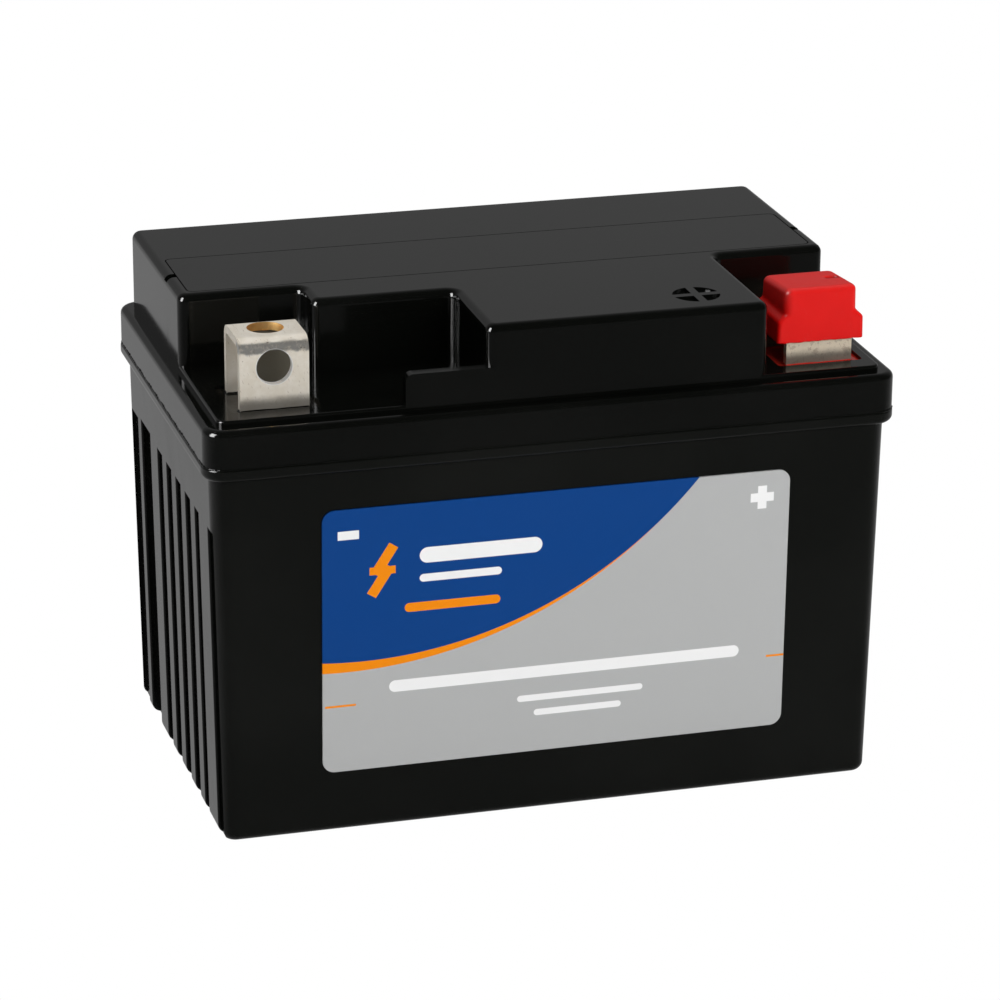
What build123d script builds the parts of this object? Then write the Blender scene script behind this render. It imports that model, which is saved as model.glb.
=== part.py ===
from build123d import *
from math import cos, radians, sin, tan
import os

# Small sealed motorcycle battery: ribbed case, welded cover, vent strip, six lead-acid cells,
# two folded brass terminals and a pull-off red cap over the positive one.
#
# Frame: origin at the centre of the underside, +X along the length towards the positive
# terminal, the label side faces -Y, +Z is up.  Millimetres.

# ---- overall sizes ----
length = 113.0                 # over the sealing bead
width = 70.0                   # over the sealing bead
height = 82.5                  # to the top of the cover
seam_height = 63.4             # where the cover is heat-sealed to the case

# ---- case ----
bead_height = 2.1
bead_stand_out = 1.3           # bead beyond the case wall just below it
bead_corner_radius = 4.0
bead_underside_radius = 1.0
bead_top_radius = 0.3
draft = 1.0                    # degrees, moulding draft of the outer walls
case_corner_radius = 2.4       # at the floor
case_floor = 2.2
case_floor_radius = 1.6
end_wall = 2.9                 # at the floor, thick enough for the grooves
side_wall = 2.0                # at the floor
cell_count = 6
partition = 1.5
cell_corner_radius = 0.8

# ---- grooves in the end walls, listed from the rear wall to the label side ----
groove_top = 51.5
rear_margin = 2.7              # solid corner post behind the first groove
groove_depth = 0.75
deep_groove_depth = 1.3
narrow_groove = 3.5
narrow_rib = 3.65
groove_rows = [                # (groove width, depth, width of the rib after it)
    (5.5, groove_depth, 2.8),
    (7.2, deep_groove_depth, 5.9),
    (narrow_groove, groove_depth, narrow_rib),
    (narrow_groove, groove_depth, narrow_rib),
    (narrow_groove, groove_depth, narrow_rib),
    (narrow_groove, groove_depth, narrow_rib),
    (2.7, groove_depth, 6.9),
    (2.8, groove_depth, 0.0),
]
rib_edge_radius = 0.35

# ---- cover ----
bead_over_skirt = 0.2          # bead beyond the cover skirt
skirt_corner_radius = 3.5
skirt_edge_radius = 1.1
ledge_height = 69.7            # top of the skirt
deck_height = 70.6             # raised floor that the terminals stand on
deck_edge_radius = 0.4
block_inset = 2.3              # raised block and deck in from the skirt, at both ends
deck_front_inset = 2.4         # deck, middle block and low wall in from the skirt, label side
block_rear_inset = 1.6
recess_back = -5.0             # back wall of both terminal recesses
pocket_back = -12.6            # back wall of the pocket beside the negative terminal
negative_recess_side = 34.2    # side walls of the terminal recesses, from the middle
positive_recess_side = 35.0
pocket_side = -11.2            # left side of the middle block
block_corner_radius = 1.6
block_edge_radius = 1.3
low_wall_left = -24.3
low_wall_top = 75.7
low_wall_thickness = 1.8
low_wall_corner_radius = 1.3
cover_wall = 2.0
cover_roof = 2.4
deck_thickness = 2.5

# ---- polarity mark in the middle block ----
mark_x = 25.2
mark_y = -25.0
mark_radius = 3.8
mark_depth = 0.5
mark_arm = 1.3

# ---- vent strip, its seat, and the gas trough under it ----
strip_front = -3.4
strip_rear = 15.0
strip_end_margin = 1.75        # seat in from the block's ends
strip_thickness = 1.6
strip_gap = 0.2
strip_corner_radius = 1.2
strip_ledge = 1.5
trough_floor = 73.1
trough_floor_thickness = 2.0
notch_width = 1.8
notch_depth = 0.8

# ---- valves ----
neck_diameter = 9.0
neck_bore = 5.6
neck_top = 77.7
cap_wall = 1.4
cap_roof = 1.5
cap_skirt_clearance = 0.1
cap_foot_gap = 1.0             # rubber cap's skirt above the trough floor
hold_down_diameter = 7.0
hold_down_gap = 0.3

# ---- terminals ----
negative_end_margin = 10.1     # middle of the terminal in from the block's end
positive_end_margin = 8.8
terminal_front = -27.6
terminal_depth = 10.7
terminal_width = 11.0
terminal_top = 81.6
terminal_plate = 1.3
terminal_front_bend = 2.2
terminal_rear_bend = 2.0
terminal_foot_inner_bend = 0.2
terminal_seam = 0.4
bolt_hole = 5.7                # clearance for an M5 bolt
bolt_hole_height = 77.1
top_hole_rear_margin = 4.6     # centre of the upper hole in from the rear leg's outside
well_width = 14.2
well_front_margin = 1.2        # well beyond the terminal, label side
well_rear_margin = 1.4
well_depth = 2.8
well_corner_radius = 0.8
well_floor = 2.5
potting_below_deck = 0.5
potting_gap = 0.05
post_diameter = 7.0
post_hole_gap = 0.1
tenon_diameter = 4.4
tenon_gap = 0.05

# ---- red cap ----
red_gap = 0.25                 # cap to terminal, all round
red_side_wall = 0.4
red_front_wall = 0.5
red_rear_wall = 0.4
red_roof_front = 1.3           # the roof is thicker towards the label side
red_roof_rear = 0.35
red_bottom = 74.1
red_flare = 1.1                # each side, below the step
red_step_bottom = 77.8
red_step_top = 78.7
red_corner_radius = 0.8
red_flare_corner_radius = 0.6
red_hole_radius = 1.3
red_hole_flat = 1.0
red_hole_offset = (4.0, 0.2)

# ---- label ----
label_width = 76.8
label_height = 44.4
label_centre_x = 0.3
label_centre_height = 32.8
label_corner_radius = 2.0
label_thickness = 0.3

# ---- plate groups ----
positive_plates = 3
positive_thickness = 1.7
negative_thickness = 1.3
separator_thickness = 0.8
plate_gap = 0.03               # plate to separator
plate_top = 49.5
plate_side_margin = 1.6
separator_overhang = 0.9
lug_width = 7.0
lug_offset = 22.6              # lug centre from the middle of the cell, along Y
strap_bottom = 54.0
strap_thickness = 3.2
strap_width = 9.0
strap_end_gap = 0.5            # strap to partition or end wall
strap_corner_radius = 1.0
tab_thickness = 2.4            # upright of the strap beside a partition
tab_top = 62.4
weld_diameter = 6.0
weld_height = 59.0
weld_gap = 0.05

# ---- sizes worked out from the above ----
case_shrink = (seam_height - bead_height) * tan(radians(draft))
case_length = length - 2 * bead_stand_out - 2 * case_shrink      # at the floor
case_width = width - 2 * bead_stand_out - 2 * case_shrink
cavity_length = case_length - 2 * end_wall
cavity_width = case_width - 2 * side_wall
cell_length = (cavity_length - (cell_count - 1) * partition) / cell_count
cell_pitch = cell_length + partition
cell_centres = [(i - (cell_count - 1) / 2) * cell_pitch for i in range(cell_count)]
partition_centres = [x + cell_pitch / 2 for x in cell_centres[:-1]]

skirt_length = length - 2 * bead_over_skirt
skirt_width = width - 2 * bead_over_skirt
block_half = skirt_length / 2 - block_inset
block_rear = skirt_width / 2 - block_rear_inset
deck_front = -skirt_width / 2 + deck_front_inset
deck_underside = deck_height - deck_thickness

seat_half = block_half - strip_end_margin
seat_level = height - strip_thickness
strip_middle = (strip_front + strip_rear) / 2
strip_depth = strip_rear - strip_front
trough_underside = trough_floor - trough_floor_thickness

rubber_radius = neck_diameter / 2 + cap_skirt_clearance + cap_wall
rubber_top = neck_top + cap_roof

negative_x = -(block_half - negative_end_margin)
positive_x = block_half - positive_end_margin
terminal_middle = terminal_front + terminal_depth / 2
well_bottom = deck_height - well_depth
potting_top = deck_height - potting_below_deck

lug_signs = [(-1 if i % 2 == 0 else 1) for i in range(cell_count)]   # side of the negative lugs


def end_wall_x(z):
    """Half length of the drafted case at height z."""
    return case_length / 2 + z * tan(radians(draft))


def save(builder, name):
    builder.part.label = name
    export_step(builder.part, f"parts/{name}.step")


os.makedirs("parts", exist_ok=True)

# ---- case: drafted box, bead round the mouth, six cells, grooved ends ----
with BuildPart() as case:
    with BuildSketch():
        RectangleRounded(case_length, case_width, case_corner_radius)
    extrude(amount=seam_height, taper=-draft)
    fillet(faces().sort_by(Axis.Z)[0].edges(), radius=case_floor_radius)
    # grooves with a sloping run-out at the top, one outline for each depth
    groove_start = case_width / 2 + case_shrink - rear_margin
    for groove_width, depth, rib_after in groove_rows:
        for side in (-1, 1):
            with BuildSketch(Plane.XZ.offset(-groove_start)):
                with BuildLine():
                    Polyline(
                        (side * (end_wall_x(-1) - depth), -1),
                        (side * (end_wall_x(groove_top) - depth), groove_top),
                        (side * (end_wall_x(groove_top) + 1), groove_top + depth + 1),
                        (side * (end_wall_x(groove_top) + 1), -1),
                        close=True,
                    )
                make_face()
            extrude(amount=groove_width, mode=Mode.SUBTRACT)
        groove_start -= groove_width + rib_after
    # long outer edges of the ribs, slightly rounded
    rib_edges = ShapeList(
        edge for edge in edges().filter_by(GeomType.LINE).filter_by_position(Axis.Z, 0, groove_top)
        if abs(edge.center().Y) < case_width / 2 - case_corner_radius
        and abs(abs(edge.center().X) - end_wall_x(edge.center().Z)) < 0.01
    )
    fillet(rib_edges, radius=rib_edge_radius)
    with BuildSketch(Plane.XY.offset(seam_height - bead_height)):
        RectangleRounded(length, width, bead_corner_radius)
    extrude(amount=bead_height)
    bead_underside = faces().filter_by_position(
        Axis.Z, seam_height - bead_height - 0.01, seam_height - bead_height + 0.01)[0]
    fillet(bead_underside.outer_wire().edges(), radius=bead_underside_radius)
    fillet(faces().sort_by(Axis.Z)[-1].outer_wire().edges(), radius=bead_top_radius)
    with BuildSketch(Plane.XY.offset(case_floor)):
        with Locations([(x, 0) for x in cell_centres]):
            RectangleRounded(cell_length, cavity_width, cell_corner_radius)
    extrude(amount=seam_height, mode=Mode.SUBTRACT)
    # a hole in each partition for the weld between neighbouring straps
    for i, x in enumerate(partition_centres):
        weld_y = -lug_signs[i] * lug_offset
        with BuildSketch(Plane.YZ.offset(x - partition)):
            with Locations((weld_y, weld_height)):
                Circle(weld_diameter / 2)
        extrude(amount=2 * partition, mode=Mode.SUBTRACT)
save(case, "case")

# ---- cover: skirt, deck, raised block with its recesses, hollow below, vent trough on top ----
with BuildPart() as cover:
    with BuildSketch(Plane.XY.offset(seam_height)):
        RectangleRounded(skirt_length, skirt_width, skirt_corner_radius)
    extrude(amount=ledge_height - seam_height)
    fillet(faces().sort_by(Axis.Z)[-1].edges(), radius=skirt_edge_radius)
    deck_depth = block_rear - deck_front
    with BuildSketch(Plane.XY.offset(ledge_height - skirt_edge_radius)):
        with Locations((0, (block_rear + deck_front) / 2)):
            RectangleRounded(2 * block_half, deck_depth, block_corner_radius)
    extrude(amount=deck_height - ledge_height + skirt_edge_radius)
    fillet(faces().sort_by(Axis.Z)[-1].edges(), radius=deck_edge_radius)
    # raised block, one outline with the terminal recesses and the pocket as notches in it
    with BuildSketch(Plane.XY.offset(ledge_height)) as block_outline:
        with BuildLine():
            Polyline(
                (-block_half, block_rear),
                (-block_half, recess_back),
                (-negative_recess_side, recess_back),
                (-negative_recess_side, pocket_back),
                (pocket_side, pocket_back),
                (pocket_side, deck_front),
                (positive_recess_side, deck_front),
                (positive_recess_side, recess_back),
                (block_half, recess_back),
                (block_half, block_rear),
                close=True,
            )
        make_face()
        fillet(vertices(), radius=block_corner_radius)
    extrude(amount=height - ledge_height)
    fillet(faces().sort_by(Axis.Z)[-1].edges(), radius=block_edge_radius)
    # low wall that closes the front of the pocket, run on into the middle block
    low_wall_right = pocket_side + block_corner_radius
    with BuildSketch(Plane.XZ.offset(-deck_front - low_wall_thickness)):
        with Locations(((low_wall_left + low_wall_right) / 2, (deck_underside + low_wall_top) / 2)):
            Rectangle(low_wall_right - low_wall_left, low_wall_top - deck_underside)
        fillet(vertices().group_by(Axis.Y)[-1].sort_by(Axis.X)[0], radius=low_wall_corner_radius)
    extrude(amount=low_wall_thickness)
    # hollow below, one space for each cell, so the partitions of the case carry on upwards
    with BuildSketch(Plane.XY.offset(seam_height)):
        with Locations([(x, 0) for x in cell_centres]):
            RectangleRounded(cell_length, cavity_width, cell_corner_radius)
    extrude(amount=deck_underside - seam_height, mode=Mode.SUBTRACT)
    with BuildSketch(Plane.XY.offset(deck_underside)):
        add(block_outline.sketch.moved(Location((0, 0, deck_underside - ledge_height))))
        offset(amount=-cover_wall)
        with Locations([(x, 0) for x in partition_centres]):
            Rectangle(partition, width, mode=Mode.SUBTRACT)
    extrude(amount=height - cover_roof - deck_underside, mode=Mode.SUBTRACT)
    # trough for the vent gas, the seat of the strip, and the slots at both ends of it
    with BuildSketch(Plane.XY.offset(trough_underside)):
        with Locations((0, strip_middle)):
            Rectangle(2 * (seat_half + 0.5), strip_depth + 1.0)
    extrude(amount=seat_level - trough_underside)
    with BuildSketch(Plane.XY.offset(trough_floor)):
        with Locations((0, strip_middle)):
            RectangleRounded(2 * (seat_half - strip_ledge), strip_depth - 2 * strip_ledge,
                             strip_corner_radius)
    extrude(amount=height - trough_floor, mode=Mode.SUBTRACT)
    with BuildSketch(Plane.XY.offset(seat_level)):
        with Locations((0, strip_middle)):
            RectangleRounded(2 * seat_half, strip_depth, strip_corner_radius)
    extrude(amount=strip_thickness, mode=Mode.SUBTRACT)
    with BuildSketch(Plane.XY.offset(height - notch_depth)):
        with Locations((-block_half, strip_middle), (block_half, strip_middle)):
            Rectangle(2 * strip_end_margin + 0.2, notch_width)
    extrude(amount=notch_depth, mode=Mode.SUBTRACT)
    # a neck for each valve, open into its cell
    with BuildSketch(Plane.XY.offset(trough_underside)):
        with Locations([(x, strip_middle) for x in cell_centres]):
            Circle(neck_diameter / 2)
    extrude(amount=neck_top - trough_underside)
    with BuildSketch(Plane.XY.offset(trough_underside)):
        with Locations([(x, strip_middle) for x in cell_centres]):
            Circle(neck_bore / 2)
    extrude(amount=neck_top - trough_underside, mode=Mode.SUBTRACT)
    # a well in the deck at each terminal, with a hole for the lead post
    well_length = well_front_margin + terminal_depth + well_rear_margin
    well_middle = terminal_front - well_front_margin + well_length / 2
    terminal_spots = [(negative_x, well_middle), (positive_x, well_middle)]
    with BuildSketch(Plane.XY.offset(well_bottom - well_floor)):
        with Locations(terminal_spots):
            Rectangle(well_width + 2 * cover_wall, well_length + 2 * cover_wall)
    extrude(amount=well_floor)
    with BuildSketch(Plane.XY.offset(well_bottom)):
        with Locations(terminal_spots):
            RectangleRounded(well_width, well_length, well_corner_radius)
    extrude(amount=well_depth, mode=Mode.SUBTRACT)
    with BuildSketch(Plane.XY.offset(well_bottom - well_floor)):
        with Locations((negative_x, terminal_middle), (positive_x, terminal_middle)):
            Circle(post_diameter / 2 + post_hole_gap)
    extrude(amount=well_floor, mode=Mode.SUBTRACT)
    # recessed disc with a flush plus sign
    with BuildSketch(Plane.XY.offset(height - mark_depth)):
        with Locations((mark_x, mark_y)):
            Circle(mark_radius)
            Rectangle(2 * mark_radius + 1, mark_arm, mode=Mode.SUBTRACT)
            Rectangle(mark_arm, 2 * mark_radius + 1, mode=Mode.SUBTRACT)
    extrude(amount=mark_depth, mode=Mode.SUBTRACT)
save(cover, "cover")

# ---- vent strip, with a hold-down pad over each valve ----
with BuildPart() as vent_strip:
    with BuildSketch(Plane.XY.offset(seat_level)):
        with Locations((0, strip_middle)):
            RectangleRounded(2 * (seat_half - strip_gap), strip_depth - 2 * strip_gap,
                             strip_corner_radius - strip_gap)
    extrude(amount=strip_thickness)
    with BuildSketch(Plane.XY.offset(rubber_top + hold_down_gap)):
        with Locations([(x, strip_middle) for x in cell_centres]):
            Circle(hold_down_diameter / 2)
    extrude(amount=seat_level - rubber_top - hold_down_gap)
save(vent_strip, "vent_strip")

# ---- rubber valve caps, stretched over the necks ----
for number, x in enumerate(cell_centres, start=1):
    with BuildPart() as valve_cap:
        foot = trough_floor + cap_foot_gap
        with BuildSketch(Plane.XY.offset(foot)):
            with Locations((x, strip_middle)):
                Circle(rubber_radius)
        extrude(amount=rubber_top - foot)
        fillet(faces().sort_by(Axis.Z)[-1].edges(), radius=cap_roof / 3)
        with BuildSketch(Plane.XY.offset(foot)):
            with Locations((x, strip_middle)):
                Circle(neck_diameter / 2 + cap_skirt_clearance)
        extrude(amount=neck_top - foot, mode=Mode.SUBTRACT)
    save(valve_cap, f"valve_cap_{number}")


# ---- terminals: brass strip folded into a square loop, its ends butting under the post ----
def build_terminal(x):
    base = well_bottom
    with BuildPart() as terminal:
        with BuildSketch(Plane.YZ.offset(x - terminal_width / 2)):
            with Locations((terminal_middle, (base + terminal_top) / 2)):
                Rectangle(terminal_depth, terminal_top - base)
            fillet(vertices().group_by(Axis.Y)[0], radius=terminal_plate + terminal_foot_inner_bend)
            fillet(vertices().group_by(Axis.Y)[-1].sort_by(Axis.X)[0], radius=terminal_front_bend)
            fillet(vertices().group_by(Axis.Y)[-1].sort_by(Axis.X)[-1], radius=terminal_rear_bend)
            offset(amount=-terminal_plate, mode=Mode.SUBTRACT)
        extrude(amount=terminal_width)
        with BuildSketch(Plane.XY.offset(base)):
            with Locations((x, terminal_middle)):
                Rectangle(terminal_width, terminal_seam)
                Circle(tenon_diameter / 2 + tenon_gap)
        extrude(amount=terminal_plate, mode=Mode.SUBTRACT)
        with BuildSketch(Plane.XZ.offset(-terminal_front)):
            with Locations((x, bolt_hole_height)):
                Circle(bolt_hole / 2)
        extrude(amount=-terminal_plate, mode=Mode.SUBTRACT)
        with BuildSketch(Plane.XY.offset(terminal_top)):
            with Locations((x, terminal_front + terminal_depth - top_hole_rear_margin)):
                Circle(bolt_hole / 2)
        extrude(amount=-terminal_plate, mode=Mode.SUBTRACT)
    return terminal


def build_potting(x):
    """Epoxy that fills the well round and inside the foot of the terminal."""
    plate = terminal_plate + 2 * potting_gap
    with BuildPart() as potting:
        with BuildSketch(Plane.XY.offset(well_bottom)):
            with Locations((x, well_middle)):
                RectangleRounded(well_width, well_length, well_corner_radius)
        extrude(amount=potting_top - well_bottom)
        with BuildSketch(Plane.XY.offset(well_bottom)):
            with Locations((x, terminal_front + terminal_plate / 2),
                           (x, terminal_front + terminal_depth - terminal_plate / 2)):
                Rectangle(terminal_width + 2 * potting_gap, plate)
        extrude(amount=potting_top - well_bottom, mode=Mode.SUBTRACT)
        with BuildSketch(Plane.XY.offset(well_bottom)):
            with Locations((x, terminal_middle)):
                Rectangle(terminal_width + 2 * potting_gap, terminal_depth)
        extrude(amount=terminal_plate + potting_gap, mode=Mode.SUBTRACT)
    return potting


def build_post(x):
    """Lead post from the end cell's strap, its tenon riveted in the terminal's base."""
    with BuildPart() as post:
        with BuildSketch(Plane.XY.offset(strap_bottom + strap_thickness)):
            with Locations((x, terminal_middle)):
                Circle(post_diameter / 2)
        extrude(amount=well_bottom - strap_bottom - strap_thickness)
        with BuildSketch(Plane.XY.offset(well_bottom)):
            with Locations((x, terminal_middle)):
                Circle(tenon_diameter / 2)
        extrude(amount=terminal_plate)
    return post


for x, name in ((negative_x, "negative"), (positive_x, "positive")):
    save(build_terminal(x), f"{name}_terminal")
    save(build_potting(x), f"{name}_potting")
    save(build_post(x), f"{name}_post")

# ---- red cap: soft moulding that pulls off upwards, flared at both ends below a step ----
with BuildPart() as positive_cap:
    red_inside = terminal_width / 2 + red_gap
    red_depth_inside = terminal_depth + 2 * red_gap
    red_ceiling = terminal_top + red_gap
    red_top = red_ceiling + red_roof_front
    red_half = red_inside + red_side_wall
    outer_rows = [
        (red_half + red_flare, red_bottom),
        (red_half + red_flare, red_step_bottom),
        (red_half, red_step_top),
        (red_half, red_top),
    ]
    red_front = terminal_front - red_gap - red_front_wall
    red_rear = terminal_front + terminal_depth + red_gap + red_rear_wall
    with BuildSketch(Plane.XZ.offset(-red_front)):
        with BuildLine():
            Polyline(
                *[(positive_x + half, z) for half, z in outer_rows],
                *[(positive_x - half, z) for half, z in reversed(outer_rows)],
                close=True,
            )
        make_face()
        fillet(vertices().filter_by_position(Axis.Y, red_step_bottom - 0.01, red_step_top + 0.01),
               radius=red_flare_corner_radius)
    extrude(amount=-(red_rear - red_front))
    # the roof falls away towards the rear
    with BuildSketch(Plane.YZ.offset(positive_x)):
        with BuildLine():
            Polyline(
                (red_front, red_top),
                (red_rear, red_ceiling + red_roof_rear),
                (red_rear, red_top),
                close=True,
            )
        make_face()
    extrude(amount=red_half, both=True, mode=Mode.SUBTRACT)
    fillet(faces().sort_by(Axis.Z)[-1].edges(), radius=red_corner_radius)
    inner_rows = [
        (red_inside + red_flare, red_bottom),
        (red_inside + red_flare, red_step_bottom),
        (red_inside, red_step_top),
        (red_inside, red_ceiling),
    ]
    with BuildSketch(Plane.XZ.offset(-terminal_front + red_gap)):
        with BuildLine():
            Polyline(
                *[(positive_x + half, z) for half, z in inner_rows],
                *[(positive_x - half, z) for half, z in reversed(inner_rows)],
                close=True,
            )
        make_face()
    extrude(amount=-red_depth_inside, mode=Mode.SUBTRACT)
    # half-round hole in the roof for a test probe
    with BuildSketch(Plane.XY.offset(red_ceiling)):
        with Locations((positive_x + red_hole_offset[0], terminal_middle + red_hole_offset[1])):
            Circle(red_hole_radius)
            with Locations((0, -red_hole_radius)):
                Rectangle(2 * red_hole_radius, 2 * red_hole_radius - red_hole_flat, mode=Mode.SUBTRACT)
    extrude(amount=red_roof_front, mode=Mode.SUBTRACT)
save(positive_cap, "positive_cap")

# ---- label on the drafted front wall ----
front_wall = Plane(
    origin=(0, -case_width / 2, 0),
    x_dir=(1, 0, 0),
    z_dir=(0, -cos(radians(draft)), -sin(radians(draft))),
)
with BuildPart() as front_label:
    with BuildSketch(front_wall):
        with Locations((label_centre_x, label_centre_height)):
            RectangleRounded(label_width, label_height, label_corner_radius)
    extrude(amount=label_thickness)
save(front_label, "front_label")

# ---- plate groups: negative, wrapped positive, negative, ... across each cell ----
plate_width = cavity_width - 2 * plate_side_margin
plate_bottom = case_floor + separator_thickness + 2 * plate_gap
negative_plates = positive_plates + 1
positive_pitch = positive_thickness + negative_thickness + 2 * separator_thickness + 4 * plate_gap
positive_offsets = [(i - (positive_plates - 1) / 2) * positive_pitch for i in range(positive_plates)]
negative_offsets = [(i - (negative_plates - 1) / 2) * positive_pitch for i in range(negative_plates)]


def build_plates(centres, thickness, lug_y):
    """Flat plates standing across the length, each with a lug up to the strap."""
    with BuildPart() as plates:
        for x in centres:
            with BuildSketch(Plane.YZ.offset(x - thickness / 2)):
                with Locations((0, (plate_bottom + plate_top) / 2)):
                    Rectangle(plate_width, plate_top - plate_bottom)
                with Locations((lug_y, (plate_top + strap_bottom) / 2)):
                    Rectangle(lug_width, strap_bottom - plate_top)
            extrude(amount=thickness)
    return plates


def build_separators(centres):
    """Glass-mat sheets, each folded in a U under and up both faces of a positive plate."""
    inside = positive_thickness + 2 * plate_gap
    outside = inside + 2 * separator_thickness
    top = plate_top + separator_overhang
    fold_top = plate_bottom - plate_gap
    fold_bottom = fold_top - separator_thickness
    with BuildPart() as separators:
        with BuildSketch(Plane.XZ.offset(-(plate_width / 2 + separator_overhang))):
            with Locations([(x, (fold_bottom + top) / 2) for x in centres]):
                Rectangle(outside, top - fold_bottom)
            with Locations([(x, (fold_top + top) / 2) for x in centres]):
                Rectangle(inside, top - fold_top, mode=Mode.SUBTRACT)
        extrude(amount=plate_width + 2 * separator_overhang)
    return separators


def build_strap(x, y, tab_side):
    """Cast lead bar over one set of lugs; tab_side is -1, 0 or 1 for its upright."""
    bar_length = cell_length - 2 * strap_end_gap
    with BuildPart() as strap:
        with BuildSketch(Plane.XY.offset(strap_bottom)):
            with Locations((x, y)):
                RectangleRounded(bar_length, strap_width, strap_corner_radius)
        extrude(amount=strap_thickness)
        if tab_side:
            with BuildSketch(Plane.XY.offset(strap_bottom)):
                with Locations((x + tab_side * (bar_length - tab_thickness) / 2, y)):
                    Rectangle(tab_thickness, strap_width)
            extrude(amount=tab_top - strap_bottom)
    return strap


for i, x in enumerate(cell_centres):
    cell = f"cell_{i + 1}"
    negative_y = lug_signs[i] * lug_offset
    positive_y = -negative_y
    save(build_plates([x + d for d in positive_offsets], positive_thickness, positive_y),
         f"{cell}_positive_plates")
    save(build_plates([x + d for d in negative_offsets], negative_thickness, negative_y),
         f"{cell}_negative_plates")
    save(build_separators([x + d for d in positive_offsets]), f"{cell}_separators")
    save(build_strap(x, positive_y, 1 if i < cell_count - 1 else 0), f"{cell}_positive_strap")
    save(build_strap(x, negative_y, -1 if i > 0 else 0), f"{cell}_negative_strap")

# ---- welds through the partitions, joining each cell to the next ----
weld_length = partition + 2 * strap_end_gap
for i, x in enumerate(partition_centres):
    with BuildPart() as intercell_weld:
        with BuildSketch(Plane.YZ.offset(x - weld_length / 2)):
            with Locations((-lug_signs[i] * lug_offset, weld_height)):
                Circle(weld_diameter / 2 - weld_gap)
        extrude(amount=weld_length)
    save(intercell_weld, f"intercell_weld_{i + 1}")
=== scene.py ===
from math import pi, radians

import bpy
import numpy as np
from mathutils import Matrix, Vector


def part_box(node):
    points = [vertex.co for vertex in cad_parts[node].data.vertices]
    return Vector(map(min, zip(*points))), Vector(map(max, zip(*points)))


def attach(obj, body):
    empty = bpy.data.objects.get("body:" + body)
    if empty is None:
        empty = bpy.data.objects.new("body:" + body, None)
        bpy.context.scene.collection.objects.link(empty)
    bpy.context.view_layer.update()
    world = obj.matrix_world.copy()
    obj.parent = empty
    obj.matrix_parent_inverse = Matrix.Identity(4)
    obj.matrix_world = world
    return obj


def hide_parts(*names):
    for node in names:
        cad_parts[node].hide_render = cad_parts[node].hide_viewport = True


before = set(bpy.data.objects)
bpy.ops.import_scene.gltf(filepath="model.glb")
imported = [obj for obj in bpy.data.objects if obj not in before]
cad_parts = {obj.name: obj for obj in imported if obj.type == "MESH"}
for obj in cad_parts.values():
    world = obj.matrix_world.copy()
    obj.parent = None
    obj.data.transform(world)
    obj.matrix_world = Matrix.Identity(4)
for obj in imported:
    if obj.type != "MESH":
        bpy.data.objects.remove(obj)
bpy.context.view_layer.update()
MM = 0.001


# ==== Case ====
# A drafted box injection-moulded in glossy black polypropylene, open at the top, with shallow
# grooves down both ends.  Its surface is a little wavy from the mould, with fine scratches,
# a few specks of dust and a satin haze where it has rubbed against packing.
class Value:
    """A number that varies over a surface: a socket that takes Python's arithmetic operators."""

    def __init__(self, finish, socket):
        self.finish = finish
        self.socket = socket

    def math(self, operation, *others):
        inputs = dict(enumerate((self, *others)))
        return self.finish.node("ShaderNodeMath", inputs, operation=operation)

    def __add__(self, other):
        return self.math("ADD", other)

    def __sub__(self, other):
        return self.math("SUBTRACT", other)

    def __mul__(self, other):
        return self.math("MULTIPLY", other)

    def __truediv__(self, other):
        return self.math("DIVIDE", other)

    def __pow__(self, other):
        return self.math("POWER", other)

    def __rsub__(self, other):
        return (self * -1) + other

    def __abs__(self):
        return self.math("ABSOLUTE")

    def __lt__(self, other):
        return self.math("LESS_THAN", other)

    def __gt__(self, other):
        return self.math("GREATER_THAN", other)

    __radd__ = __add__
    __rmul__ = __mul__

    def low(self, other):
        return self.math("MINIMUM", other)

    def high(self, other):
        return self.math("MAXIMUM", other)

    def fade(self, start, end):
        """0 before start, 1 after end, smooth between; start may be the larger one."""
        if start > end:
            return 1 - self.fade(end, start)
        inputs = {"Value": self, "From Min": start, "From Max": end}
        return self.finish.node("ShaderNodeMapRange", inputs, interpolation_type="SMOOTHSTEP")


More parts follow.
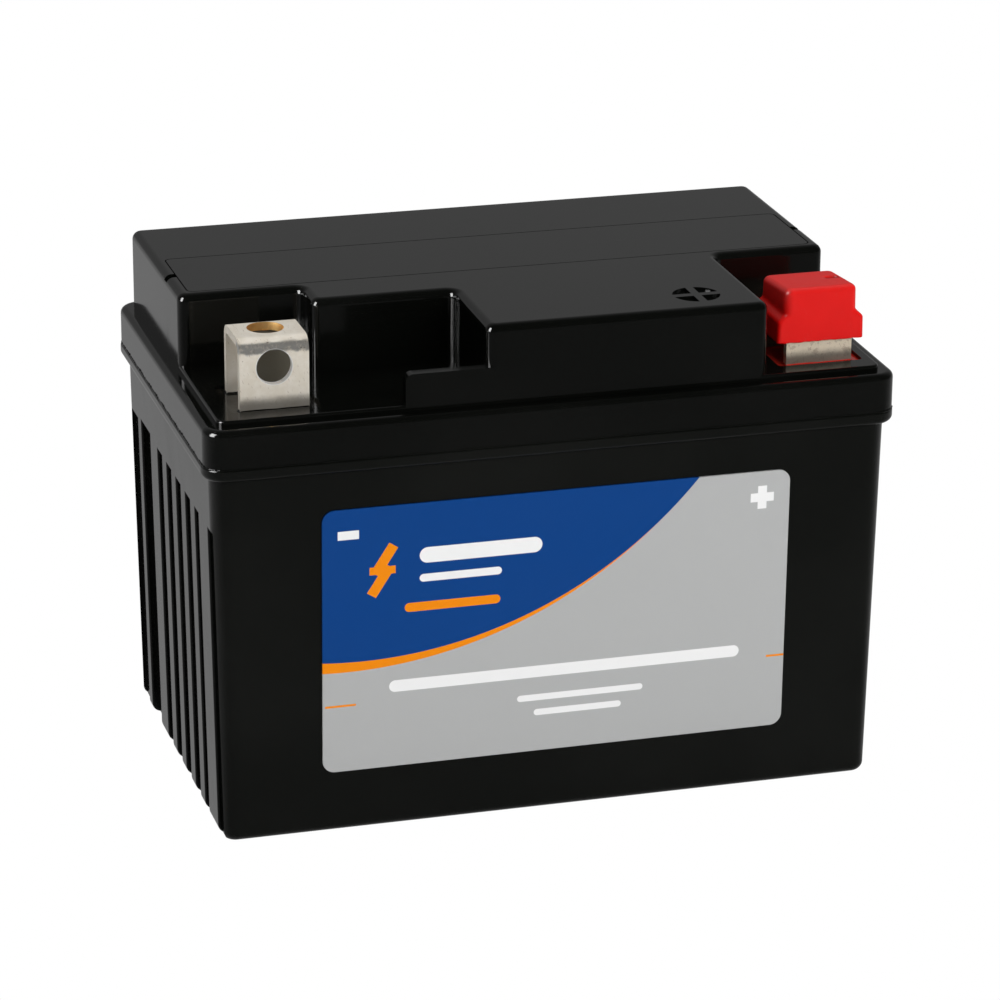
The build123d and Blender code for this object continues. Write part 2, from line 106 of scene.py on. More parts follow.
class Finish:
    """A procedural material: one Principled shader and the nodes that feed it."""

    def __init__(self, name, **fixed):
        self.material = bpy.data.materials.new(name)
        self.material.use_nodes = True
        self.tree = self.material.node_tree
        self.shader = self.tree.nodes["Principled BSDF"]
        self.set(**fixed)
        metres = self.node("ShaderNodeTexCoord", output="Object")
        self.place = self.node("ShaderNodeVectorMath", {0: metres, "Scale": 1 / MM}, operation="SCALE")
        self.x, self.y, self.z = (self.node("ShaderNodeSeparateXYZ", {0: self.place}, output=axis)
                                  for axis in "XYZ")

    def node(self, kind, inputs=None, output=0, **settings):
        """Adds a node, sets it, fills its sockets from values or links, and returns one output."""
        node = self.tree.nodes.new(kind)
        for name, value in settings.items():
            setattr(node, name, value)
        for name, value in (inputs or {}).items():
            if isinstance(value, Value):
                self.tree.links.new(value.socket, node.inputs[name])
            else:
                node.inputs[name].default_value = value
        return Value(self, node.outputs[output])

    def set(self, **sockets):
        """Values or links for the shader's own sockets, base_color for Base Color."""
        for name, value in sockets.items():
            socket = self.shader.inputs[name.replace("_", " ").title().replace("Ior", "IOR")]
            if isinstance(value, Value):
                self.tree.links.new(value.socket, socket)
            else:
                socket.default_value = (*value, 1) if socket.type == "RGBA" else value

    def stretched(self, sizes, turn=(0, 0, 0)):
        """The place, turned by degrees and divided by a size in mm along each axis."""
        inputs = {0: self.place, "Rotation": tuple(map(radians, turn))}
        turned = self.node("ShaderNodeVectorRotate", inputs, rotation_type="EULER_XYZ")
        return self.node("ShaderNodeVectorMath", {0: turned, 1: tuple(1 / s for s in sizes)},
                         operation="MULTIPLY")

    def noise(self, size, detail=2.0, roughness=0.5, turn=(0, 0, 0)):
        """Smooth noise about 0.5, its lumps size mm across, or (x, y, z) mm."""
        sizes = size if isinstance(size, tuple) else (size,) * 3
        inputs = {"Vector": self.stretched(sizes, turn), "Scale": 1.0,
                  "Detail": detail, "Roughness": roughness}
        return self.node("ShaderNodeTexNoise", inputs)

    def specks(self, spacing, radius):
        """1 on scattered round specks, 0 elsewhere: distance to random points, below a radius."""
        cells = {"Vector": self.place, "Scale": 1 / spacing}
        distance = self.node("ShaderNodeTexVoronoi", cells, output="Distance")
        chosen = self.noise(spacing * 3) > 0.5
        return distance.fade(radius / spacing, radius / spacing * 0.5) * chosen

    def mix(self, factor, first, second):
        """The first colour where the factor is 0, the second where it is 1."""
        node = self.tree.nodes.new("ShaderNodeMix")
        node.data_type = "RGBA"
        for socket, value in zip((node.inputs[0], node.inputs[6], node.inputs[7]),
                                 (factor, first, second)):
            if isinstance(value, Value):
                self.tree.links.new(value.socket, socket)
            elif isinstance(value, tuple):
                socket.default_value = (*value, 1)
            else:
                socket.default_value = value
        return Value(self, node.outputs[2])

    def bump(self, height, depth):
        """A normal from a height, where a height of 1 stands for depth mm."""
        normal = self.node("ShaderNodeBump", {"Height": height, "Distance": depth * MM})
        self.set(normal=normal)


def coat(finish, *names):
    """Gives the finish to CAD nodes, in place of what they came with."""
    for name in names:
        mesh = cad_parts[name].data
        mesh.materials.clear()
        mesh.materials.append(finish.material)


def black_plastic(name, haze, wave, tone=1.0):
    """Glossy black polypropylene: haze is its roughness, wave its ripples' depth in mm."""
    finish = Finish(name, IOR=1.5, specular_ior_level=0.36)
    smudge = finish.noise((34, 26, 30), detail=4)
    cloud = finish.noise(7, detail=5, roughness=0.6)
    wiped = finish.noise((3, 24, 20), detail=4, roughness=0.6, turn=(0, 20, 35)).fade(0.52, 0.72)
    scratch = finish.noise((0.16, 9, 10), detail=1, turn=(0, 8, 31)).fade(0.735, 0.77)
    scratch = scratch * cloud.fade(0.5, 0.65)
    dust = finish.specks(3.4, 0.07)
    grain = finish.noise(0.35, detail=1)
    deep, light = (0.0022, 0.0025, 0.0020), (0.0036, 0.0039, 0.0033)
    tones = [tuple(channel * tone for channel in shade) for shade in (deep, light)]
    black = finish.mix(smudge.fade(0.4, 0.7), *tones)
    dusty = finish.mix((scratch * 0.03).high(dust * 0.22), black, (0.10, 0.10, 0.095))
    rough = smudge.fade(0.35, 0.75) * 0.05 + wiped * 0.04 + cloud * 0.04 + dust * 0.3 + (haze - 0.05)
    finish.set(base_color=dusty, roughness=rough)
    ripple = finish.noise((11, 11, 9), detail=1)
    finish.bump(ripple * wave + grain * 0.0008 + dust * 0.012 - scratch * 0.0015, 1.0)
    return finish


case_plastic = black_plastic("case_plastic", haze=0.16, wave=0.006, tone=1.5)
coat(case_plastic, "case")


# ==== Plates, separators and lead ====
# Six cells of flat pasted plates: brown positives wrapped in white glass mat, grey negatives
# bare between them.  Cast lead straps join the lugs, and weld through the partitions.
def pasted(name, paste, light, *nodes):
    """Paste pressed in a lead grid: its bars show faintly, with pores and fine cracks."""
    finish = Finish(name)
    pore = finish.noise(0.8, detail=6, roughness=0.7)
    level_bars = abs((finish.z / 5.0).math("FRACT") - 0.5).fade(0.42, 0.49)      # 5 mm apart
    upright_bars = abs((finish.y / 7.0).math("FRACT") - 0.5).fade(0.44, 0.49)    # 7 mm apart
    lattice = upright_bars.high(level_bars)
    crack = abs(finish.noise(4, detail=3) - 0.5).fade(0.012, 0.0)
    colour = finish.mix(lattice * 0.6, finish.mix(pore, paste, light), (0.25, 0.26, 0.27))
    finish.set(base_color=finish.mix(crack, colour, tuple(channel * 0.3 for channel in paste)),
               roughness=pore * 0.25 + 0.65)
    finish.bump(pore * 0.4 + lattice - crack, 0.12)
    coat(finish, *nodes)


cells = range(1, 7)
pasted("positive_paste", (0.045, 0.020, 0.012), (0.10, 0.045, 0.025),
       *[f"cell_{i}_positive_plates" for i in cells])
pasted("negative_paste", (0.10, 0.105, 0.11), (0.22, 0.23, 0.24),
       *[f"cell_{i}_negative_plates" for i in cells])

glass_mat = Finish("glass_mat")
fibre = glass_mat.noise((0.15, 2.5, 0.2), detail=3, turn=(24, 0, 0)).high(
    glass_mat.noise((0.15, 0.2, 2.5), detail=3, turn=(-31, 0, 0)))
glass_mat.set(base_color=glass_mat.mix(fibre, (0.70, 0.70, 0.66), (0.90, 0.90, 0.87)), roughness=0.95)
glass_mat.bump(fibre, 0.08)
coat(glass_mat, *[f"cell_{i}_separators" for i in cells])

lead = Finish("cast_lead", metallic=0.9)
oxide = lead.noise(3, detail=5, roughness=0.65)
lead.set(base_color=lead.mix(oxide, (0.20, 0.21, 0.23), (0.42, 0.43, 0.45)),
         roughness=oxide * 0.25 + 0.38)
lead.bump(lead.noise(1.2, detail=4) + oxide * 0.5, 0.05)
coat(lead, *[f"cell_{i}_{pole}_strap" for i in cells for pole in ("positive", "negative")],
     *[f"intercell_weld_{i}" for i in range(1, 6)], "positive_post", "negative_post")

# ==== Valve caps ====
# Small rubber cups stretched over the necks of the cells; they lift to let gas out.
valve_rubber = Finish("valve_rubber", sheen_weight=0.3)
bloom = valve_rubber.noise(2.5, detail=4)
valve_rubber.set(base_color=valve_rubber.mix(bloom, (0.012, 0.012, 0.012), (0.035, 0.034, 0.032)),
                 roughness=bloom * 0.2 + 0.6)
valve_rubber.bump(valve_rubber.noise(0.3), 0.01)
coat(valve_rubber, *[f"valve_cap_{i}" for i in cells])

# ==== Cover ====
# A second moulding of the same black plastic, heat-welded to the case all round.  It is a shade
# deeper, a little shinier and flatter than the case, with the same scratches and dust.
cover_plastic = black_plastic("cover_plastic", haze=0.12, wave=0.004)
coat(cover_plastic, "cover")

cover_low, cover_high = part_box("cover")


def rounded_rectangle(half_x, half_y, radius, count):
    """Points round a rectangle with round corners, and their outward normals.

    A circle's centre waits at each corner while the normal turns a quarter, then slides along a
    side while the normal stays, so a point is that centre plus the radius times the normal.
    """
    x, y = half_x - radius, half_y - radius
    quarter = radius * pi / 2
    runs = np.cumsum([0, quarter, 2 * x, quarter, 2 * y, quarter, 2 * x, quarter, 2 * y])
    along = np.arange(count) / count * runs[-1]
    turned = np.interp(along, runs, np.array([0, 1, 1, 2, 2, 3, 3, 4, 4]) * pi / 2)
    centres = np.stack([np.interp(along, runs, np.array([1, 1, -1, -1, -1, -1, 1, 1, 1]) * x),
                        np.interp(along, runs, np.array([1, 1, 1, 1, -1, -1, -1, -1, 1]) * y)], 1)
    normals = np.stack([np.cos(turned), np.sin(turned)], 1)
    return centres + radius * normals, normals


def mesh_piece(name, points, finish, body="battery"):
    """A smooth mesh that rides on a body, from rows and columns of points.

    The last row joins the first, and the last column the first.
    """
    rows, columns = points.shape[:2]
    index = np.pad(np.arange(rows * columns).reshape(rows, columns), (0, 1), mode="wrap")
    quads = np.stack([index[:-1, :-1], index[1:, :-1], index[1:, 1:], index[:-1, 1:]], -1)
    mesh = bpy.data.meshes.new(name)
    mesh.from_pydata(points.reshape(-1, 3), [], quads.reshape(-1, 4).tolist())
    mesh.shade_smooth()
    mesh.materials.append(finish.material)
    piece = bpy.data.objects.new(name, mesh)
    bpy.context.collection.objects.link(piece)
    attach(piece, body)
    return piece


def ripples(angles, waves, seed):
    """Sum of sines round a closed path, of mean 0 and size about 1, from seeded phases."""
    sines = 24
    random = np.random.default_rng(seed)
    counts = random.integers(waves[0], waves[1], sines)
    phases = random.uniform(0, 2 * pi, sines)
    return np.sin(np.outer(angles, counts) + phases).sum(1) / sines ** 0.5


# ==== Weld flash ====
# Plastic squeezed out of the heat weld between the case and the cover: an uneven thread that
# sits in the corner between the bead and the cover's skirt, thick here and nearly gone there.
flash_count, flash_sides = 1800, 8
flash_radius = 0.13 * MM         # where it is of usual thickness
flash_lift = 0.04 * MM           # clear of the bead below it
skirt_radius = 3.5 * MM          # the cover's vertical corners
path, outward = rounded_rectangle(cover_high.x, cover_high.y, skirt_radius, flash_count)
turn_round = np.linspace(0, 2 * pi, flash_count, endpoint=False)
swell = 0.75 + 0.30 * ripples(turn_round, (20, 90), 3) + 0.25 * ripples(turn_round, (150, 420), 4)
swell = np.clip(swell, 0.12, 1.35)[:, None]
section = np.linspace(0, 2 * pi, flash_sides, endpoint=False)[None, :]
out = flash_radius * swell * (0.3 + np.cos(section))
up = flash_radius * swell * (0.6 + np.sin(section)) + flash_lift
flash = np.concatenate([
    path[:, None, :] + outward[:, None, :] * out[..., None],
    (cover_low.z + up)[..., None],
], -1)
mesh_piece("weld_flash", flash, case_plastic)

# ==== Terminals ====
# Brass strip folded into a square loop and tin-plated: a satin, warm silver, with bare brass where
# the top hole was pierced after plating.  Painted on it: a dark reflection along the front bend,
# shade low on the front and inside the loop, and a highlight round the front hole.
terminal_low, terminal_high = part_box("negative_terminal")
positive_low, positive_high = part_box("positive_terminal")
hole_radius = 2.85               # mm
plate = 1.3                      # mm, thickness of the strip
front_bend = 2.2                 # mm
top_hole_margin = 4.6            # mm, centre of the upper hole in from the rear leg
bolt_height = 77.1               # mm, centre of the front hole
bend_reflection_depth = front_bend * 0.62   # mm below the top, where the painted dark reflection of the bend ends
foot_shade_height = 4.6                # mm above the strip's lowest edge, where the painted shade on the front ends
painted_light_margin = 3.5                 # mm left of the middle, where painted light from the open side replaces the painted shade inside
top_z, bottom_z = terminal_high.z / MM, terminal_low.z / MM
front_y, rear_y = terminal_low.y / MM, terminal_high.y / MM
hole_y = rear_y - top_hole_margin
hole_x = (terminal_high.x + terminal_low.x) / 2 / MM
other_x = (positive_high.x + positive_low.x) / 2 / MM
tin = Finish("plated_brass")
blotch = tin.noise(2.2, detail=6, roughness=0.6)
patch = tin.noise(0.8, detail=4, roughness=0.6)
stain = tin.noise(1.3, detail=5, roughness=0.7)
nick = tin.noise((0.08, 2.6, 1.2), detail=1, turn=(0, 24, 0)).fade(0.72, 0.75)
pit = tin.specks(1.7, 0.10)
# painted reflection: a patchy dark band along the front bend, also smoother and more metallic
painted_bend_reflection = (tin.z + patch * 1.2 - (top_z - bend_reflection_depth)).fade(-0.5, 0.1)
painted_bend_reflection = painted_bend_reflection * (tin.z + patch * 0.8 - (top_z - 0.25)).fade(0.15, -0.2)
painted_bend_reflection = painted_bend_reflection * (tin.y < front_y + front_bend)
# painted shade: the front darkens towards its foot
painted_foot_shade = (tin.z + patch * 0.9 - (bottom_z + foot_shade_height)).fade(0.9, -0.8) * (tin.y < front_y + 0.2)
aside = abs(tin.x - hole_x).low(abs(tin.x - other_x))
from_top_hole = (aside * aside + (tin.y - hole_y) * (tin.y - hole_y)) ** 0.5
pierced = (from_top_hole - hole_radius).fade(0.10, 0.0) * (tin.z > top_z - plate - 0.05)
pierced = pierced * (tin.y > hole_y - hole_radius - 0.2)
from_front_hole = (aside * aside + (tin.z - bolt_height) * (tin.z - bolt_height)) ** 0.5
# painted highlight: a white ring round the front hole's edge
painted_hole_highlight = abs(from_front_hole - hole_radius).fade(0.16, 0.04) * (tin.y < front_y + plate)
# painted shade inside the loop, left out near the open side, where painted light stands for daylight
# reaching in
painted_loop_shade = (tin.y - (front_y + plate)).fade(-0.05, 0.05) * (tin.z < top_z - plate + 0.02)
painted_loop_shade = painted_loop_shade * (tin.y < rear_y - plate + 0.02)
painted_loop_shade = painted_loop_shade * (tin.x - (hole_x - painted_light_margin)).fade(-0.3, 0.3)
on_positive = tin.x > 0
tarnish = tin.mix(stain, (0.80, 0.68, 0.50), (1.0, 0.90, 0.74))
silver = tin.mix(blotch.fade(0.35, 0.65), (0.90, 0.825, 0.700), (0.97, 0.905, 0.795))
for mask, tint in (
    (on_positive, tarnish),
    (stain.fade(0.54, 0.60) * 0.55 * on_positive, (0.50, 0.37, 0.25)),
    # painted dark reflection along the front bend
    (painted_bend_reflection * 0.65 * patch.fade(0.25, 0.55), (0.30, 0.31, 0.32)),
    # painted shade towards the foot of the front
    (painted_foot_shade * 0.6, (0.30, 0.28, 0.25)),
    (pit.high(nick) * 0.7, (0.30, 0.20, 0.10)),
    # painted shade inside the loop
    (painted_loop_shade * 0.93, (0.105, 0.095, 0.066)),
    # painted highlight round the front hole
    (painted_hole_highlight * 0.8, (1.0, 1.0, 1.0)),
):
    silver = tin.mix(mask, silver, tint)
brass = tin.mix(blotch, (0.62, 0.33, 0.09), (0.90, 0.62, 0.27))
tin.set(base_color=tin.mix(pierced, silver, brass),
        metallic=painted_bend_reflection * 0.4 + painted_foot_shade * 0.4 + pierced * 0.5 + 0.36,
        roughness=blotch * 0.14 + patch * 0.10 + nick * 0.1 - painted_bend_reflection * 0.12 + 0.30)
tin.bump(blotch * 0.4 + patch * 0.3 + stain * 0.25 - pit * 0.6 - nick * 0.4, 0.018)
coat(tin, "negative_terminal", "positive_terminal")


# ==== Potting ====
# Epoxy poured into the wells round the terminals' feet, black on the negative side and red on
# the positive one; it creeps a little way up the metal.
def epoxy(name, deep, light):
    """Poured resin: glossy, slightly uneven, with a few trapped bubbles and bits of dust."""
    finish = Finish(name, IOR=1.55)
    pour = finish.noise(5, detail=3)
    bubble = finish.specks(1.7, 0.16)
    dust = finish.specks(1.1, 0.05)
    finish.set(base_color=finish.mix(dust * 0.7, finish.mix(pour, deep, light), (0.35, 0.33, 0.28)),
               roughness=pour * 0.12 + dust * 0.3 + 0.06)
    finish.bump(pour * 0.12 + bubble * 0.05 + dust * 0.04, 1.0)
    return finish


def creep(name, centre, half_x, half_y, pool, finish, seed):
    """A hollow fillet of resin round one leg: a quarter circle swept round a rectangle.

    Two more rows of points close it inside the metal and just under the pool's surface.
    """
    steps, count = 7, 240
    leg_corner = 0.12 * MM
    creep_size = 0.30 * MM
    in_metal, in_pool = 0.1 * MM, 0.05 * MM
    outline, normal = rounded_rectangle(half_x, half_y, leg_corner, count)
    angles = np.linspace(0, 2 * pi, count, endpoint=False)
    size = creep_size * (1 + 0.08 * ripples(angles, (2, 9), seed))[:, None]
    bend = np.linspace(0, pi / 2, steps)[None, :]
    out = np.concatenate([size * (1 - np.sin(bend)), 0 * size - in_metal, 0 * size - in_metal], 1)
    up = np.concatenate([size * (1 - np.cos(bend)), size, 0 * size - in_pool], 1)
    plan = outline[:, None, :] + normal[:, None, :] * out[..., None] + np.array(centre)
    mesh_piece(name, np.concatenate([plan, (pool + up)[..., None]], -1), finish)


for pole, finish, slot in (
    ("negative", epoxy("black_epoxy", (0.004, 0.004, 0.003), (0.010, 0.009, 0.007)), "black_epoxy"),
    ("positive", epoxy("red_epoxy", (0.42, 0.012, 0.008), (0.62, 0.03, 0.015)), "red_epoxy"),
):
    coat(finish, f"{pole}_potting")
    leg_low, leg_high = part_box(f"{pole}_terminal")
    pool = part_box(f"{pole}_potting")[1].z
    half_leg = plate / 2 * MM
    middle_x = (leg_low.x + leg_high.x) / 2
    half_width = (leg_high.x - leg_low.x) / 2
    for leg, leg_y in (("front", leg_low.y + half_leg), ("rear", leg_high.y - half_leg)):
        creep(f"{pole}_{leg}_creep", (middle_x, leg_y), half_width, half_leg, pool, finish,
              seed=11 + len(pole + leg))

# ==== Vent strip ====
# A long flat lid over the gas trough, welded in its seat along the rear edge.
strip_plastic = black_plastic("strip_plastic", haze=0.15, wave=0.004)
coat(strip_plastic, "vent_strip")

# ==== Label ====
# A film sticker on the label side: a blue field over silver grey, parted by an orange band that
# tapers along a large arc, with a minus and a plus below the terminals they belong to.
white = (0.88, 0.88, 0.88)
blue = (0.000, 0.050, 0.235)
orange = (0.90, 0.26, 0.0)
silver_grey = (0.445, 0.450, 0.450)
film = Finish("label_film", IOR=1.45, specular_ior_level=0.2)
across, rise = film.x, film.z
soft = 0.05                      # mm, half the softness of a printed edge


def disc(centre_x, centre_z, radius):
    """1 inside a circle on the label, 0 outside."""
    dx, dz = across - centre_x, rise - centre_z
    return ((dx * dx + dz * dz) ** 0.5).fade(radius + soft, radius - soft)


def bar(centre_x, centre_z, width, height):
    """1 inside an upright rectangle on the label, 0 outside."""
    return (abs(across - centre_x).fade(width / 2 + soft, width / 2 - soft)
            * abs(rise - centre_z).fade(height / 2 + soft, height / 2 - soft))


def slash(foot, head, width):
    """1 inside a slanting bar between two points on the label, 0 outside."""
    run = Vector(head) - Vector(foot)
    along = ((across - foot[0]) * run.x + (rise - foot[1]) * run.y) / run.length_squared
    beside = ((across - foot[0]) * run.y - (rise - foot[1]) * run.x) / run.length
    return abs(beside).fade(width / 2 + soft, width / 2 - soft) * (along > 0) * (along < 1)


def pill(left, right, centre_z, height):
    """1 inside a level bar with round ends, 0 outside."""
    radius = height / 2
    ends = disc(left + radius, centre_z, radius).high(disc(right - radius, centre_z, radius))
    return ends.high(bar((left + right) / 2, centre_z, right - left - height, height))


# places are in mm from the battery's middle and up from its foot
orange_disc = disc(-34.3, 101.7, 74.1)
blue_disc = disc(-31.6, 100.8, 71.6)
lightning = slash((-29.6, 43.7), (-26.6, 48.4), 1.7)
lightning = lightning.high(slash((-30.2, 40.2), (-27.2, 44.9), 1.7))
lightning = lightning.high(bar(-28.4, 44.3, 4.2, 1.3))
# blank bars stand where a name and a rating would be
name_bar = pill(-22.4, -2.4, 46.2, 2.6)
kind_bar = pill(-22.4, -9.0, 42.4, 1.3)
model_bar = pill(-24.8, -9.2, 37.6, 1.5)
note_bars = pill(-27.3, 31.0, 24.4, 2.0)
note_bars = note_bars.high(pill(-6.2, 14.8, 19.9, 1.1)).high(pill(-3.4, 11.2, 17.3, 1.1))
minus = bar(-33.9, 50.7, 3.4, 1.45)
plus = bar(34.1, 50.6, 3.9, 1.5).high(bar(34.1, 50.6, 1.5, 3.9))
ticks = bar(-35.2, 21.9, 5.0, 0.35).high(bar(37.2, 22.9, 3.0, 0.35))

printed = silver_grey
for shape, ink in ((orange_disc, orange), (blue_disc, blue), (lightning, orange), (name_bar, white),
                   (kind_bar, white), (model_bar, orange), (minus.high(plus), white),
                   (note_bars, white), (ticks, orange)):
    printed = film.mix(shape, printed, ink)
fleck = film.noise(0.25, detail=2)
handled = film.noise((14, 14, 9), detail=4)
film.set(base_color=film.mix(fleck * 0.008, printed, (0.3, 0.3, 0.3)),
         roughness=handled * 0.16 + 0.26)
film.bump(film.noise(6, detail=2) * 0.03 + fleck * 0.0015, 1.0)
coat(film, "front_label")

# ==== Red cap ====
# A soft vinyl moulding pushed over the positive terminal: one thin wall with round corners, a
# flare below a soft step at both ends, an uneven lower edge and a half-round hole in its roof.
vinyl = Finish("red_vinyl", subsurface_weight=0.05, subsurface_scale=0.5 * MM,
               subsurface_radius=(1.0, 0.2, 0.1), IOR=1.46, specular_ior_level=0.3)
mould = vinyl.noise(4, detail=4)
scuff = vinyl.noise((0.3, 2.4, 1.6), detail=2, turn=(10, 20, 30)).fade(0.66, 0.78)
lint = vinyl.specks(1.3, 0.05)
roof_patches = vinyl.noise(1.1, detail=4, roughness=0.65)
cap_low, cap_high = (Vector(corner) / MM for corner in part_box("positive_cap"))
cap_fall = 0.085                 # the roof falls this much per mm towards the rear
on_roof = (vinyl.z - cap_high.z + (vinyl.y - cap_low.y) * cap_fall).fade(-0.7, -0.05)
# painted sheen and dust: the roof is paler in patches, partly painted sheen from the light above and
# partly dust; scuffs and lint are lighter too
roof_sheen_and_scuffs = on_roof * (roof_patches * 0.09 + 0.015) + (scuff * 0.06).high(lint * 0.3)
red = vinyl.mix(mould, (0.68, 0.0040, 0.0030), (0.76, 0.0060, 0.0045))
red = vinyl.mix(roof_sheen_and_scuffs, red, (0.55, 0.26, 0.24))
vinyl.set(base_color=red, roughness=mould * 0.12 + scuff * 0.1 + on_roof * 0.12 + 0.32)
vinyl.bump(mould * 0.06 + vinyl.noise(0.4) * 0.005 + scuff * 0.003, 1.0)

cap_middle = (cap_low + cap_high) / 2
cap_half = (cap_high - cap_low) / 2
cap_columns = 280
wall_rows, bend_rows, roof_rows = 34, 8, 8
cap_corner = 1.35                # mm, outer vertical corners, half of it below the step
least_corner = 0.15              # mm, what is left of a corner on the rounded edge
cap_edge, inner_edge = 1.0, 0.6  # mm, rounding round the roof, outside and inside
cap_flare = 1.1                  # mm, each end below the step
cap_step = (77.45, 78.95)        # mm, lowest and highest of the soft step
cap_wall = 0.4                   # mm
cap_ceiling = 81.85              # mm, height of the roof's inside
probe_hole = Vector((4.0, 0.2))  # mm from the middle of the terminal
probe_radius, probe_flat = 1.3, 0.5
taper = 0.012                    # the walls lean in this much per mm upwards
ragged_depth = 0.05              # mm, unevenness of the lower edge
ragged_reach = 0.8               # mm, how far up it dies away


def smooth(value):
    """0 below 0, 1 above 1, with a soft start and end."""
    value = np.clip(value, 0, 1)
    return value * value * (3 - 2 * value)


def cap_outline(height, inset, corner):
    """Points round the cap at one height, moved in from its outside."""
    past_step = smooth((height - cap_step[0]) / (cap_step[1] - cap_step[0]))
    lean = taper * (height - cap_low.z) + inset
    half_x = cap_half.x - cap_flare * past_step - lean
    softened = corner * (0.5 + 0.5 * past_step)
    plan, _ = rounded_rectangle(half_x, cap_half.y - lean, softened, cap_columns)
    return np.column_stack([plan, np.full(cap_columns, height)])


def probe_outline(height, outline):
    """Points round the half-round hole, each in line with a point of the outline."""
    centre = np.array(probe_hole)
    angle = np.arctan2(outline[:, 1] - centre[1], outline[:, 0] - centre[0])
    distance = np.minimum(probe_radius, probe_flat / np.maximum(-np.sin(angle), 1e-3))
    plan = centre + distance[:, None] * np.stack([np.cos(angle), np.sin(angle)], 1)
    return np.column_stack([plan, np.full(cap_columns, height)])


def cap_shell(inset, top, edge, corner):
    """Rows of points up one side of the wall and in over the roof to the probe hole."""
    heights = np.linspace(cap_low.z, top - edge, wall_rows)
    rows = [cap_outline(height, inset, corner) for height in heights]
    for lift in np.linspace(0, pi / 2, bend_rows + 1)[1:]:
        pulled_in = edge * (1 - np.cos(lift))
        rows.append(cap_outline(top - edge + edge * np.sin(lift), inset + pulled_in,
                                max(corner - pulled_in, least_corner)))
    hole = probe_outline(top, rows[-1])
    shares = np.linspace(0, 1, roof_rows + 1)[1:]
    return np.array(rows + [rows[-1] + (hole - rows[-1]) * share for share in shares])


outside = cap_shell(0.0, cap_high.z, cap_edge, cap_corner)
inside = cap_shell(cap_wall, cap_ceiling, inner_edge, cap_corner - cap_wall)
upper_part = smooth((outside[..., 2] - cap_step[1]) / (cap_high.z - cap_edge - cap_step[1]))
outside[..., 2] -= cap_fall * (outside[..., 1] + cap_half.y) * upper_part
cap = np.concatenate([outside, inside[::-1]])
round_cap = np.linspace(0, 2 * pi, cap_columns, endpoint=False)
ragged = ragged_depth * (1.5 + np.clip(ripples(round_cap, (3, 40), 21), -1.5, 2))
cap[..., 2] += ragged * np.exp(-(cap[..., 2] - cap_low.z) / ragged_reach)
cap[..., 0] += cap_middle.x
cap[..., 1] += cap_middle.y
cap = cap.swapaxes(0, 1) * MM    # columns first, so that the faces look outwards
red_cap = mesh_piece("red_cap", cap, vinyl, body="red_cap")
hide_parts("positive_cap")

# ==== Studio ====
# A white backdrop, and a pale floor that only throws light back up.  One light on the left shows
# in the gloss alone, and two only light.  The gloss also shows a room that is brighter behind the
# battery than in front of it, and below the horizon than above.
floor_mesh = bpy.data.meshes.new("floor")
half_floor = 6.0
floor_corners = [(x * half_floor, y * half_floor, 0) for x, y in ((-1, -1), (1, -1), (1, 1), (-1, 1))]
floor_mesh.from_pydata(floor_corners, [], [(0, 1, 2, 3)])
floor = bpy.data.objects.new("floor", floor_mesh)
bpy.context.collection.objects.link(floor)
floor_finish = Finish("floor_paper", roughness=0.9, specular_ior_level=0.1)
floor_finish.set(base_color=floor_finish.mix(floor_finish.noise(60, detail=3),
                                             (0.90, 0.90, 0.89), (0.94, 0.94, 0.93)))
floor_mesh.materials.append(floor_finish.material)
floor.visible_glossy = False
floor.visible_camera = False


def softbox(name, direction, distance, size, power, glossy_only=False):
    """A rectangular area light that faces the middle of the battery.

    It shows in the gloss and lights nothing else, or it only lights and stays out of the gloss.
    """
    lamp = bpy.data.lights.new(name, "AREA")
    lamp.shape = "RECTANGLE"
    lamp.size, lamp.size_y = size
    lamp.energy = power
    light = bpy.data.objects.new(name, lamp)
    middle = Vector((0, 0, 0.045))
    light.location = middle + Vector(direction).normalized() * distance
    light.rotation_euler = (middle - light.location).to_track_quat("-Z", "Y").to_euler()
    light.visible_glossy = glossy_only
    light.visible_diffuse = not glossy_only
    bpy.context.collection.objects.link(light)


softbox("glint_light", (-0.88, -0.24, 0.40), 1.0, (0.42, 0.75), 22, glossy_only=True)
softbox("fill_light", (0.35, -0.85, 0.40), 1.4, (1.0, 0.8), 13)
softbox("top_light", (0.1, 0.3, 1.0), 1.3, (1.0, 1.0), 7)

world = bpy.data.worlds.new("studio")
bpy.context.scene.world = world
world.use_nodes = True
sky = world.node_tree.nodes
links = world.node_tree.links


def sky_node(kind, inputs=None, output=0, **settings):
    """Adds a node to the room's colours and returns one output."""
    node = sky.new(kind)
    for name, value in settings.items():
        setattr(node, name, value)
    for name, value in (inputs or {}).items():
        if isinstance(value, bpy.types.NodeSocket):
            links.new(value, node.inputs[name])
        else:
            node.inputs[name].default_value = value
    return node.outputs[output]


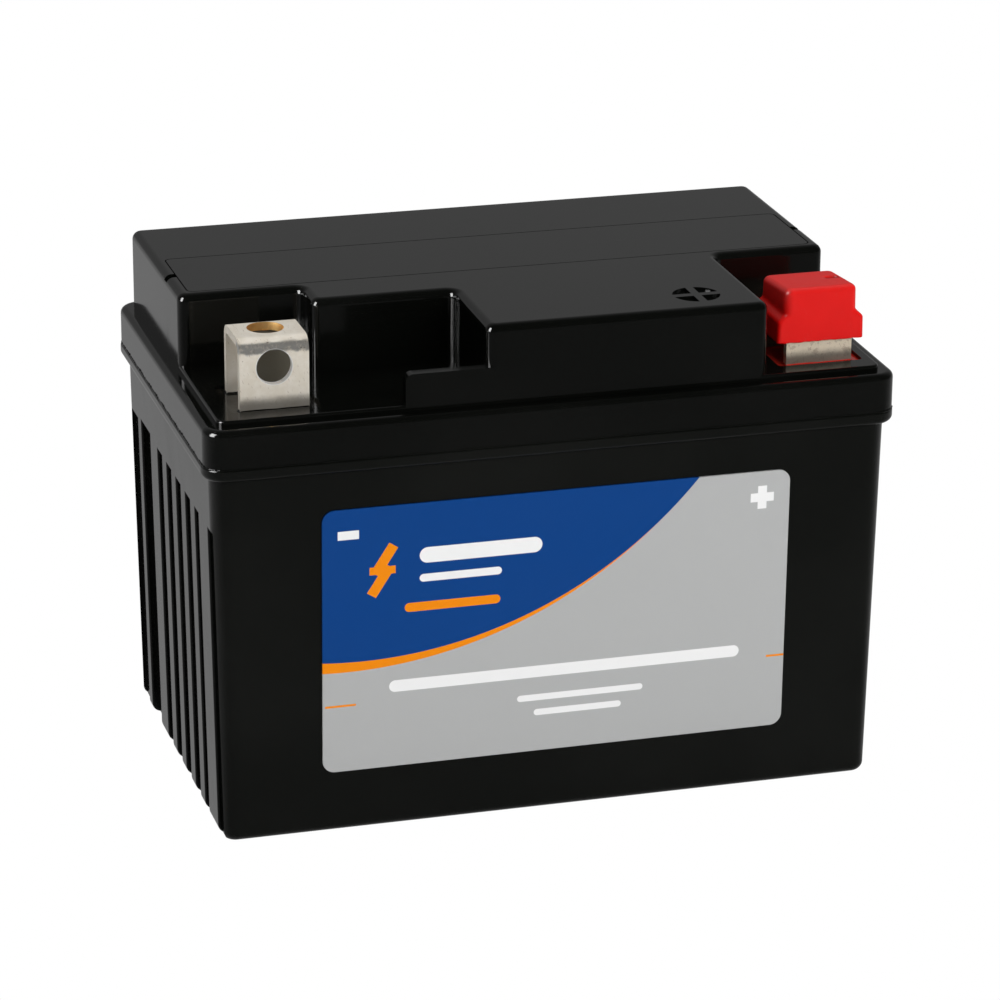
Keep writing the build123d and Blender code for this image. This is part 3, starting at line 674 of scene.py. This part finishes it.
def sky_ramp(value, start, end, low=0.0, high=1.0):
    """low where the value is start, high where it is end, smooth between."""
    inputs = {"Value": value, "From Min": start, "From Max": end, "To Min": low, "To Max": high}
    return sky_node("ShaderNodeMapRange", inputs, interpolation_type="SMOOTHSTEP")


def sky_mix(factor, first, second):
    """The first strength where the factor is 0, the second where it is 1."""
    return sky_node("ShaderNodeMix", {0: factor, 2: first, 3: second}, data_type="FLOAT")


backdrop_strength = 1.0
lit_strength = 0.25              # of the room, for all but the gloss and the camera
toward = sky_node("ShaderNodeTexCoord", output="Generated")
backward = sky_node("ShaderNodeSeparateXYZ", {0: toward}, "Y")
upward = sky_node("ShaderNodeSeparateXYZ", {0: toward}, "Z")
glossy_ray = sky_node("ShaderNodeLightPath", output="Is Glossy Ray")
camera_ray = sky_node("ShaderNodeLightPath", output="Is Camera Ray")
lower_room = sky_ramp(backward, -0.7, 0.7, 0.13, 0.42)
upper_room = sky_ramp(backward, -0.2, 0.9, 0.03, 0.24)
glossy_room = sky_mix(sky_ramp(upward, -0.06, 0.06), lower_room, upper_room)
lit_room = sky_mix(glossy_ray, lit_strength, glossy_room)
seen_room = sky_mix(camera_ray, lit_room, backdrop_strength)
links.new(seen_room, sky["Background"].inputs["Strength"])
sky["Background"].inputs["Color"].default_value = (1, 1, 1, 1)
bpy.context.scene.view_settings.view_transform = "Standard"

# ==== Camera ====
# A long lens, to the left of the label side and a little above.
camera_place = Vector((-183.4, -631.8, 282.8)) * MM
camera_aim = Vector((0.37, -0.11, 41.37)) * MM
camera_roll = 0.42               # degrees
lens = bpy.data.cameras.new("camera")
lens.sensor_width = 36.0         # mm
lens.lens = 152.7                # mm
camera = bpy.data.objects.new("camera", lens)
level = (camera_aim - camera_place).to_track_quat("-Z", "Y").to_matrix().to_4x4()
camera.matrix_world = (Matrix.Translation(camera_place) @ level
                       @ Matrix.Rotation(radians(camera_roll), 4, "Z"))
bpy.context.collection.objects.link(camera)
bpy.context.scene.camera = camera
